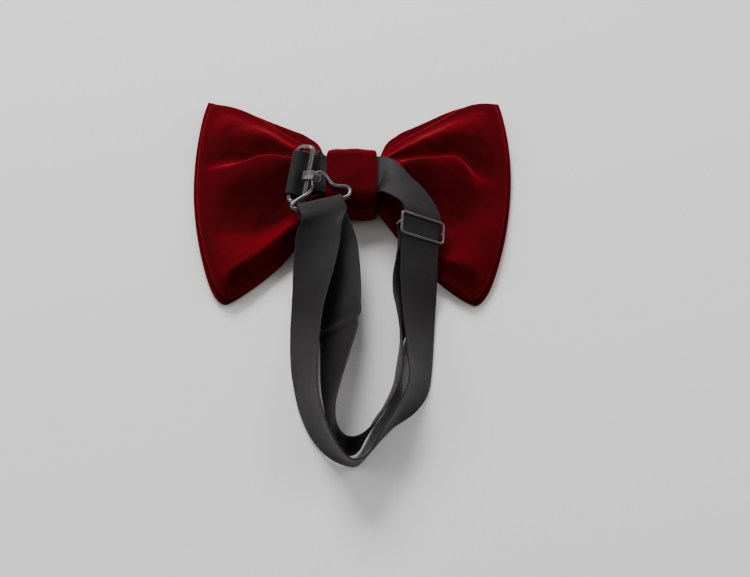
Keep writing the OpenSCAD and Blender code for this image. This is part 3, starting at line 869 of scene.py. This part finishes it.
# ---------------------------------------------------------------- ribbon
@dataclass
class RibbonStrip:
    """A stretch of ribbon that follows rows of cross lines."""

    width: float = STRAP_W
    thick: float = 0.62
    half_cols: int = 11

    def section(self) -> tuple[Vec, Vec]:
        """Places across the ribbon, -1 to 1, and the half thickness at each."""
        t = np.linspace(-1, 1, 2 * self.half_cols + 1)
        e = np.sign(t) * (1 - np.power(1 - np.abs(t), 1.5))
        edge = np.clip((1 - np.abs(e)) * self.width / 2 / 0.3, 0, 1)
        return e, self.thick / 2 * np.sqrt(np.clip(1 - np.square(1 - edge), 0.0, 1))

    def build(self, name: str, rows: Vec, start: int, stop: int,
              shape: Callable[[Vec, Vec], Vec] | None = None) -> bpy.types.Object:
        """Build the ribbon between two of its rows.

        Args:
            name: the piece's name.
            rows: every row of the whole ribbon, so that neighbours meet exactly.
            start: number of the first row used.
            stop: number of the last row used.
            shape: lift off the middle surface, from (along, across) in millimetres, or None.

        Returns:
            The piece.
        """
        centre = rows[:, :3]
        turn, rise = np.radians(rows[:, 3]), np.radians(rows[:, 4])
        across = np.column_stack([np.cos(turn) * np.cos(rise), np.sin(turn) * np.cos(rise), np.sin(rise)])
        run = np.gradient(centre, axis=0)
        run = run / np.linalg.norm(run, axis=1)[:, None]
        normal = np.cross(run, across)
        normal = normal / np.linalg.norm(normal, axis=1)[:, None]
        along = np.concatenate([[0], np.cumsum(np.linalg.norm(np.diff(centre, axis=0), axis=1))])
        e, half = self.section()
        rings, maps = [], []
        for i in range(start, stop + 1):
            w = e * self.width / 2
            lift = np.zeros_like(e) if shape is None else shape(np.full_like(e, along[i]), w)
            middle = centre[i] + across[i] * w[:, None] + normal[i] * lift[:, None]
            high = middle + normal[i] * half[:, None]
            low = (middle - normal[i] * half[:, None])[1:-1][::-1]
            rings.append(np.concatenate([high, low]))
            flat = np.concatenate([w, w[1:-1][::-1]]) * MM
            maps.append(np.column_stack([flat, np.full(len(flat), along[i] * MM)]))
        m, n = len(rings[0]), len(rings)
        points, uv = np.concatenate(rings), np.concatenate(maps)
        faces = [[i * m + k, i * m + (k + 1) % m, (i + 1) * m + (k + 1) % m, (i + 1) * m + k]
                 for i in range(n - 1) for k in range(m)]
        for end in (0, n - 1):
            ids = [end * m + k for k in range(m)]
            for k in range(1, m // 2):
                faces.append([ids[k], ids[k + 1], ids[m - k - 1], ids[m - k]] if k + 1 < m - k - 1
                             else [ids[k], ids[k + 1], ids[m - k]])
            faces.append([ids[0], ids[1], ids[m - 1]])
        piece = mesh_piece(name, points, faces, uv)
        self.sharpen_ends(piece.data, m, n)
        return piece

    @staticmethod
    def sharpen_ends(mesh: bpy.types.Mesh, around: int, rings: int) -> None:
        """Part the shading of the two cut ends from that of the ribbon's faces.

        Args:
            mesh: the ribbon's mesh.
            around: points in each ring.
            rings: number of rings.
        """
        last = (rings - 1) * around
        for edge in mesh.edges:
            a, b = edge.vertices
            edge.use_edge_sharp = (a < around and b < around) or (a >= last and b >= last)
        for face in mesh.polygons:
            ends = list(face.vertices)
            face.use_smooth = not (max(ends) < around or min(ends) >= last)


def strap_shape(along: Vec, across: Vec) -> Vec:
    """Slight cupping and unevenness of the strap, with its crosswise creases, in millimetres."""
    cup = 0.10 * (np.square(across / 9.5) - 0.33)
    uneven = 0.10 * waves(along, across, 3, 24.0) + 0.035 * waves(along, across, 11, 7.0)
    press = along - 0.12 * across
    crease = (0.55 * np.exp(-np.square((press - 174.0) / 2.2))
              - 0.8 * np.exp(-np.square((press - 169.5) / 1.8)))
    return cup + uneven + crease


class NeckStrap:
    """The neck strap: one ribbon, doubled, through the hook and the slider and into the knot."""

    STEPS = 10

    def __init__(self) -> None:
        """Lay out the strap's rows from its sewn end to the knot."""
        ply = STRAP_T + 0.05
        sewn = [slider_row(10.5, -BAR_DROP + ply / 2), slider_row(6, -BAR_DROP + ply / 2 + 0.02),
                slider_row(2.4, -BAR_DROP + 0.8)]
        for k in range(7):
            a = math.pi * k / 6
            sewn.append(slider_row(-math.sin(a) * BAR_R, -BAR_DROP + math.cos(a) * BAR_R))
        sewn += [slider_row(2.4, -BAR_DROP - 0.8), slider_row(6, -BAR_DROP - ply / 2 - 0.02),
                 slider_row(10.5, -BAR_DROP - ply / 2)]
        inner_right: list[Row] = [(24.4, -47.5, 10.9, 188, 37), (22.2, -56.5, 9.4, 184, 54),
                                  (20.2, -66, 9.6, 181, 76)]
        inner_loop: list[Row] = [
            (19.4, -79, 9.9, 180, 93), (18.6, -91, 9.8, 172, 101), (15.6, -101, 9.8, 158, 106),
            (11.2, -109, 9.7, 136, 109), (7.2, -116, 9.8, 112, 106), (3.2, -120.6, 10, 90, 98),
            (-1, -120.6, 10.1, 64, 93), (-4.4, -115.5, 9.9, 40, 88), (-6, -108.5, 9.8, 18, 81),
            (-6.2, -100, 9.4, 6, 71), (-5.8, -91, 8.8, 2, 59), (-5, -80.5, 7.8, 0, 48),
            (-4.1, -70, 6.8, 0, 38)]
        inner_left: list[Row] = [(-3.9, -59.5, 6.2, 2, 30), (-4.4, -50, 6.9, 5, 24), (-5.4, -41, 9, 8, 18),
                                 (-6.9, -32.5, 11.7, 12, 9)]
        r = HOOK_WIRE / 2 + CLEAR + STRAP_T / 2
        fold = [fold_row(6, -1.5), fold_row(2.6, -r - 0.05)]
        for k in range(7):
            a = math.pi * k / 6
            fold.append(fold_row(-math.sin(a) * r, -math.cos(a) * r))
        fold += [fold_row(2.6, r - 0.1), fold_row(6, 0.9)]
        outer_left: list[Row] = [(-12.3, -28.6, 17.3, 14, 5), (-13.3, -37.5, 13.6, 6, 16),
                                 (-14.8, -48.5, 9.7, 0, 32),
                                 (-16, -58, 7.9, 0, 41)]
        outer_loop: list[Row] = [
            (-16.9, -68, 7.5, 0, 47), (-16.8, -82, 8.3, 2, 54), (-15.4, -98, 9.1, 9, 63),
            (-12.6, -108.5, 9.6, 24, 70), (-8.4, -117.5, 9.9, 40, 80), (-3.2, -124, 10, 62, 94),
            (2.4, -127.6, 9.9, 86, 108), (7, -125, 9.9, 116, 108), (11.4, -117.6, 10, 138, 101),
            (17.4, -109, 9.9, 142, 95), (23.2, -101.5, 9.6, 153, 80), (26.2, -93.5, 9.1, 170, 67),
            (26.7, -83.5, 8.5, 180, 58), (26.7, -70, 8.1, 184, 51), (26.9, -58, 8.7, 189, 44)]
        outer_right = [slider_row(19, 0), slider_row(0, 0), slider_row(-7.6, 0), (23.4, -14, 20.6, 212, 30),
                       (18.1, -7.4, 18.9, 228, 21), (14.7, -1.7, 16.1, 248, 4),
                       (KNOT_HALF + 1.2, 0.6, BAND_Z, 263, -2),
                       (KNOT_HALF - 5, 0.6, BAND_Z, 268, 0)]
        route = sewn + inner_right + inner_loop + inner_left + fold + outer_left + outer_loop + outer_right
        self.rows = smooth_rows(route, self.STEPS)
        s = self.STEPS
        self.end_sewn = (len(sewn) - 1) * s
        self.end_inner_right = self.end_sewn + (len(inner_right) + 1) * s
        self.end_inner = self.end_sewn + (len(inner_right) + len(inner_loop) - 2) * s
        self.fold_start = self.end_sewn + (len(inner_right) + len(inner_loop) + len(inner_left) + 1) * s
        self.fold_end = self.fold_start + (len(fold) - 1) * s
        self.inner_mid = self.fold_start - 3 * s
        self.outer_mid = self.fold_end + 3 * s
        self.start_outer = self.fold_end + (len(outer_left) + 2) * s
        self.last = len(self.rows) - 1

    def point(self, number: int) -> tuple[float, float, float]:
        """A row's middle, in metres."""
        x, y, z = self.rows[number, :3] * MM
        return (float(x), float(y), float(z))

    def length(self, start: int, stop: int) -> float:
        """Length of the ribbon between two rows, in metres."""
        return float(np.linalg.norm(np.diff(self.rows[start:stop + 1, :3], axis=0), axis=1).sum()) * MM

    def make(self, finishes: Finishes) -> list[bpy.types.Object]:
        """Build and dress every stretch of the strap; a stretch on one body is attached to it."""
        strip = RibbonStrip()
        stretches = [
            ("strap_sewn_loop", 0, self.end_sewn, ("slider",), ("strap_sewn_end",)),
            ("strap_inner_right", self.end_sewn, self.end_inner_right, ("slider", "bow"),
             ("strap_sewn_lead",)),
            ("strap_inner_bend", self.end_inner_right, self.end_inner, ("bow",), ("strap_inner_run",)),
            ("strap_inner_left_low", self.end_inner, self.inner_mid, ("bow", "eye"), ("strap_inner_lead",)),
            ("strap_inner_left_high", self.inner_mid, self.fold_start, ("eye", "hook"), ()),
            ("strap_fold", self.fold_start, self.fold_end, ("hook",), ("strap_hook_fold",)),
            ("strap_outer_left_high", self.fold_end, self.outer_mid, ("hook", "eye"), ()),
            ("strap_outer_left_low", self.outer_mid, self.start_outer, ("eye", "bow"), ("strap_outer_lead",)),
            ("strap_outer_bend", self.start_outer, self.last, ("bow",), ("strap_outer_run",))]
        pieces = []
        for name, start, stop, bodies, nodes in stretches:
            piece = strip.build(name, self.rows, start, stop, strap_shape)
            dress(piece, finishes.ribbon)
            if nodes:
                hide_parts(*nodes)
            if len(bodies) == 2:
                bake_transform(piece)
            else:
                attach(piece, bodies[0])
            self.length(start, stop)
            pieces.append(piece)
            LOG.info("%s: %.0f mm of ribbon", name, self.length(start, stop) / MM)
        return pieces


class ShortBand:
    """The short band: out of the knot, round the eye's bar and back in."""

    def make(self, finishes: Finishes) -> bpy.types.Object:
        r, ply = EYE_WIRE / 2 + CLEAR + STRAP_T / 2, STRAP_T + 0.15
        low: list[Row] = [(-KNOT_HALF + 5, 0, BAND_Z - ply, 90, 0),
                          (-KNOT_HALF - 0.5, 1, BAND_Z - ply, 88, 1),
                          (-KNOT_HALF - 4, 2, BAND_Z + 1 - ply, 84, 9),
                          band_row(5.6, -4.3), band_row(3, -2.9),
                          band_row(1.2, -1.95)]
        roll = [band_row(-math.sin(math.pi * k / 6) * r, -math.cos(math.pi * k / 6) * r) for k in range(7)]
        high: list[Row] = [band_row(1.6, 1.15), band_row(3.4, -1.1), band_row(5.6, -4.3 + ply),
                           (-KNOT_HALF - 4, 2, BAND_Z + 1, 84, 9), (-KNOT_HALF - 0.5, 1, BAND_Z, 88, 1),
                           (-KNOT_HALF + 5, 0, BAND_Z, 90, 0)]
        rows = smooth_rows(low + roll + high, 8)
        piece = RibbonStrip().build("short_band_ribbon", rows, 0, len(rows) - 1)
        dress(piece, finishes.ribbon)
        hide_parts("short_band")
        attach(piece, "bow")
        return piece


# ---------------------------------------------------------------- wire fittings
def wire_piece(name: str, path: Vec, diameter: float, closed: bool = True) -> bpy.types.Object:
    """Bend a round wire along a path.

    Args:
        name: the piece's name.
        path: points in millimetres.
        diameter: the wire's diameter, in millimetres.
        closed: whether its ends meet.

    Returns:
        The wire, as a mesh.
    """
    deselect()
    bpy.ops.curve.primitive_nurbs_path_add(location=(0, 0, 0))
    curve = bpy.context.object
    curve.name = name
    curve.data.splines.clear()
    spline = curve.data.splines.new("POLY")
    spline.points.add(len(path) - 1)
    for point, place in zip(spline.points, np.asarray(path) * MM):
        point.co = (*place, 1.0)
    spline.use_cyclic_u = closed
    spline.use_smooth = True
    curve.data.dimensions = "3D"
    curve.data.twist_mode = "MINIMUM"
    curve.data.bevel_depth = diameter * MM / 2
    curve.data.bevel_resolution = 6
    curve.data.use_fill_caps = not closed
    bpy.ops.object.convert(target="MESH")
    piece = bpy.context.object
    piece.name = name
    work = bmesh.new()
    work.from_mesh(piece.data)
    bmesh.ops.remove_doubles(work, verts=work.verts, dist=1e-6)
    bmesh.ops.recalc_face_normals(work, faces=work.faces)
    work.to_mesh(piece.data)
    work.free()
    piece.data.polygons.foreach_set("use_smooth", [True] * len(piece.data.polygons))
    return piece


def closed_curve(points: Sequence[Sequence[float]], steps: int) -> Vec:
    """A smooth closed curve through points."""
    p = np.asarray(points, float)
    q = np.vstack([p[-1], p, p[0], p[1]])
    out = []
    for i in range(len(p)):
        a, b, c, d = q[i], q[i + 1], q[i + 2], q[i + 3]
        for k in range(steps):
            t = k / steps
            out.append(0.5 * (2 * b + (c - a) * t + (2 * a - 5 * b + 4 * c - d) * t * t
                              + (3 * b - a - 3 * c + d) * t ** 3))
    return np.array(out)


def rounded_frame(length: float, width: float, bend: float, steps: int = 8) -> list[tuple[float, float]]:
    """A rectangle with round corners, as points about its middle."""
    path = []
    for sx, sy, start in ((1, 1, 0), (-1, 1, 90), (-1, -1, 180), (1, -1, 270)):
        for k in range(steps + 1):
            a = math.radians(start + 90 * k / steps)
            path.append((sx * (length / 2 - bend) + bend * math.cos(a),
                         sy * (width / 2 - bend) + bend * math.sin(a)))
    return path


@dataclass
class Fittings:
    """The eye, the hook and the slider, bent from enamelled wire."""

    eye_bend: float = 2.2
    slider_bend: float = 1.4
    tongue_w: float = 3.8
    tongue_t: float = 1.1
    tongue_shift: float = -0.9

    def hook_path(self) -> Vec:
        """The hook's loop of wire, in its own plane."""
        path = [(-9.4, 0, 0), (-10.7, 0.15, 0), (-11.6, 0.95, 0), (-11.7, 2.05, 0.1), (-11, 2.9, 0.2),
                (-9.7, 3.5, 0.3), (-7.8, 4.15, 0.5), (-5.2, 4.9, 0.8), (-2.6, 6.4, 0.5), (-1.1, 8.8, 0),
                (-0.1, 11.2, -0.2), (1, 13.4, 0), (2.8, 14.8, 0), (4.8, 14.4, 0), (6.1, 12, 0), (6.8, 9, 0),
                (8, 6.9, 0), (9.8, 5.9, 0), (11.7, 5.3, 0), (13, 4, 0), (13, 2.2, 0), (11.7, 0.6, 0),
                (9.6, 0, 0),
                (5, 0, 0), (0, 0, 0), (-5, 0, 0)]
        return np.array([HOOK.at(*p) for p in closed_curve(path, 10)])

    def tongue(self) -> bpy.types.Object:
        """The flat tongue, bent round the eye's free bar.

        Returns:
            The piece, extruded leg by leg and then given its thickness.
        """
        r = EYE_WIRE / 2 + CLEAR + self.tongue_t / 2
        profile = [(4.0, r)] + [(k, r) for k in (2.6, 1.3)] + [
            (-math.sin(math.radians(a)) * r, math.cos(math.radians(a)) * r) for a in range(0, 181, 12)] + [
            (1.3, -r), (2.6, -r), (3.9, -r), (5.2, -r)]
        place = Place(EYE.at(EYE_SPAN, self.tongue_shift, 0), EYE_FLAT, EYE_ALONG, EYE_UP)
        deselect()
        bpy.ops.mesh.primitive_plane_add(size=1.0, location=(0, 0, 0))
        piece = bpy.context.object
        piece.name = "hook_tongue_metal"
        corners = [place.at(a, b, c) * MM for a, c in profile[:2]
                   for b in (-self.tongue_w / 2, self.tongue_w / 2)]
        order = sorted(range(4), key=lambda i: (piece.data.vertices[i].co.x, piece.data.vertices[i].co.y))
        for number, corner in zip(order, corners):
            piece.data.vertices[number].co = corner
        bpy.ops.object.mode_set(mode="EDIT")
        bpy.ops.mesh.select_mode(type="EDGE")
        tail = {order[2], order[3]}
        for a, c in zip(profile[1:], profile[2:]):
            work = bmesh.from_edit_mesh(piece.data)
            work.verts.ensure_lookup_table()
            for part in (*work.faces, *work.edges, *work.verts):
                part.select = False
            for edge in work.edges:
                edge.select = {v.index for v in edge.verts} == tail
            bmesh.update_edit_mesh(piece.data)
            step = (place.at(c[0], 0, c[1]) - place.at(a[0], 0, a[1])) * MM
            bpy.ops.mesh.extrude_region_move(TRANSFORM_OT_translate={"value": tuple(step)})
            work = bmesh.from_edit_mesh(piece.data)
            work.verts.index_update()
            tail = {v.index for v in work.verts if v.select}
        bpy.ops.object.mode_set(mode="OBJECT")
        wall = piece.modifiers.new("wall", "SOLIDIFY")
        wall.thickness, wall.offset = self.tongue_t * MM, 0.0
        edge = piece.modifiers.new("soft", "BEVEL")
        edge.width, edge.segments, edge.limit_method = 0.25 * MM, 3, "ANGLE"
        apply_modifiers(piece)
        bpy.ops.object.mode_set(mode="EDIT")
        bpy.ops.mesh.select_all(action="SELECT")
        bpy.ops.mesh.normals_make_consistent(inside=False)
        bpy.ops.object.mode_set(mode="OBJECT")
        piece.data.polygons.foreach_set("use_smooth", [True] * len(piece.data.polygons))
        bpy.ops.object.shade_smooth_by_angle(angle=math.radians(40))
        return piece

    def make(self, finishes: Finishes) -> list[bpy.types.Object]:
        eye_path = [EYE.at(x + EYE_SPAN / 2, y, 0)
                    for x, y in rounded_frame(EYE_SPAN, STRAP_W + 2.4 + EYE_WIRE, self.eye_bend)]
        frame_path = [SLIDER.at(x, y, FRAME_LIFT)
                      for x, y in rounded_frame(SLIDER_L, SLIDER_LEN, self.slider_bend)]
        half, drop = SLIDER_LEN / 2, -BAR_DROP
        bar_path = [SLIDER.at(0, -half, FRAME_LIFT), SLIDER.at(0, -half, drop + 0.5),
                    SLIDER.at(0, -half + 0.15, drop + 0.15), SLIDER.at(0, -half + 0.5, drop),
                    SLIDER.at(0, half - 0.5, drop), SLIDER.at(0, half - 0.15, drop + 0.15),
                    SLIDER.at(0, half, drop + 0.5), SLIDER.at(0, half, FRAME_LIFT)]
        pieces = []
        for name, path, wire, closed, body, nodes in (
                ("eye_wire", eye_path, EYE_WIRE, True, "eye", ("eye",)),
                ("hook_wire", self.hook_path(), HOOK_WIRE, True, "hook", ("hook",)),
                ("slider_frame_wire", frame_path, SLIDER_WIRE, True, "slider", ("slider_frame",)),
                ("slider_bar_wire", bar_path, SLIDER_WIRE, False, "slider", ("slider_bar",))):
            piece = wire_piece(name, np.array(path), wire, closed)
            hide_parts(*nodes)
            pieces.append((piece, body))
        pieces.append((self.tongue(), "hook"))
        for piece, body in pieces:
            dress(piece, finishes.enamel)
            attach(piece, body)
            LOG.info("%s: %d faces", piece.name, len(piece.data.polygons))
        return [piece for piece, _ in pieces]


# ---------------------------------------------------------------- studio
class Studio:
    """Pale floor, soft lights and the camera."""

    def floor(self) -> None:
        """A wide pale sheet under the tie."""
        deselect()
        bpy.ops.mesh.primitive_plane_add(size=4.0, location=(0, 0, -0.0004))
        floor = bpy.context.object
        floor.name = "studio_floor"
        material = bpy.data.materials.new("pale_floor")
        material.use_nodes = True
        g = Graph(material.node_tree)
        out = g.add("OutputMaterial")
        shader = g.add("BsdfPrincipled", in_Roughness=0.9, in_Base_Color=(0.80, 0.79, 0.78, 1.0))
        g.join(shader.outputs["BSDF"], out.inputs["Surface"])
        dress(floor, material)

    def lights(self) -> None:
        """A large soft key from behind and above, and weaker fills."""
        def area(name: str, place: Sequence[float], size: float, power: float, aim: Sequence[float]) -> None:
            """Add a square area light that faces a point."""
            data = bpy.data.lights.new(name, "AREA")
            data.size, data.energy = size, power
            lamp = bpy.data.objects.new(name, data)
            lamp.location = place
            lamp.rotation_euler = (Vector(aim) - Vector(place)).to_track_quat("-Z", "Y").to_euler()
            bpy.context.scene.collection.objects.link(lamp)

        area("key", (-0.25, 0.8, 0.85), 0.55, 17.0, (0, -0.03, 0))
        area("fill_left", (-0.9, -0.1, 0.7), 0.7, 3.5, (0, -0.03, 0))
        area("fill_right", (0.9, 0.1, 0.8), 0.8, 4.5, (0, -0.03, 0))
        world = bpy.data.worlds.new("studio_air")
        world.use_nodes = True
        world.node_tree.nodes["Background"].inputs["Color"].default_value = (1.0, 1.0, 1.0, 1.0)
        world.node_tree.nodes["Background"].inputs["Strength"].default_value = 0.4
        bpy.context.scene.world = world

    def camera(self) -> None:
        """The view down over the lower edge of the bow."""
        data = bpy.data.cameras.new("view")
        data.sensor_width, data.lens = 36.0, 62.47
        data.sensor_fit = "HORIZONTAL"
        camera = bpy.data.objects.new("view", data)
        camera.location = (0.01057, -0.33437, 0.43413)
        camera.rotation_euler = (math.radians(33.599), 0.0, math.radians(0.163))
        bpy.context.scene.collection.objects.link(camera)
        bpy.context.scene.camera = camera


def dress_kept_nodes(finishes: Finishes) -> None:
    """Give the solids that stay visible their finishes."""
    kept = {"knot_interlining": finishes.canvas, "gathering_thread": finishes.thread,
            "knot_stitches": finishes.red_thread, "short_band_stitches": finishes.thread,
            "sewn_end_stitches": finishes.thread}
    for name, material in kept.items():
        dress(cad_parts[name], material)
        LOG.info("%s dressed with %s", name, material.name)


def main() -> None:
    """Build the tie, its studio and its camera, in order."""
    logging.basicConfig(level=logging.INFO, format="%(name)s: %(message)s")
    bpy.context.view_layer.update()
    studio = Studio()
    studio.camera()
    finishes = Finishes()
    NeckStrap().make(finishes)
    ShortBand().make(finishes)
    Fittings().make(finishes)
    Butterfly("front_butterfly", ("front_bow_face", "front_bow_interlining", "front_bow_lining"),
              1.25, 1.8, 3.4, 0.16, 0.04, 4, 0.9).make(finishes)
    Butterfly("rear_butterfly", ("rear_bow_face", "rear_bow_interlining", "rear_bow_lining"),
              4.1, 0.0, 0.0, 1.0, 0.2, 9, 0.0).make(finishes)
    Knot().make(finishes)
    dress_kept_nodes(finishes)
    studio.floor()
    studio.lights()


if __name__ == "__main__":
    main()
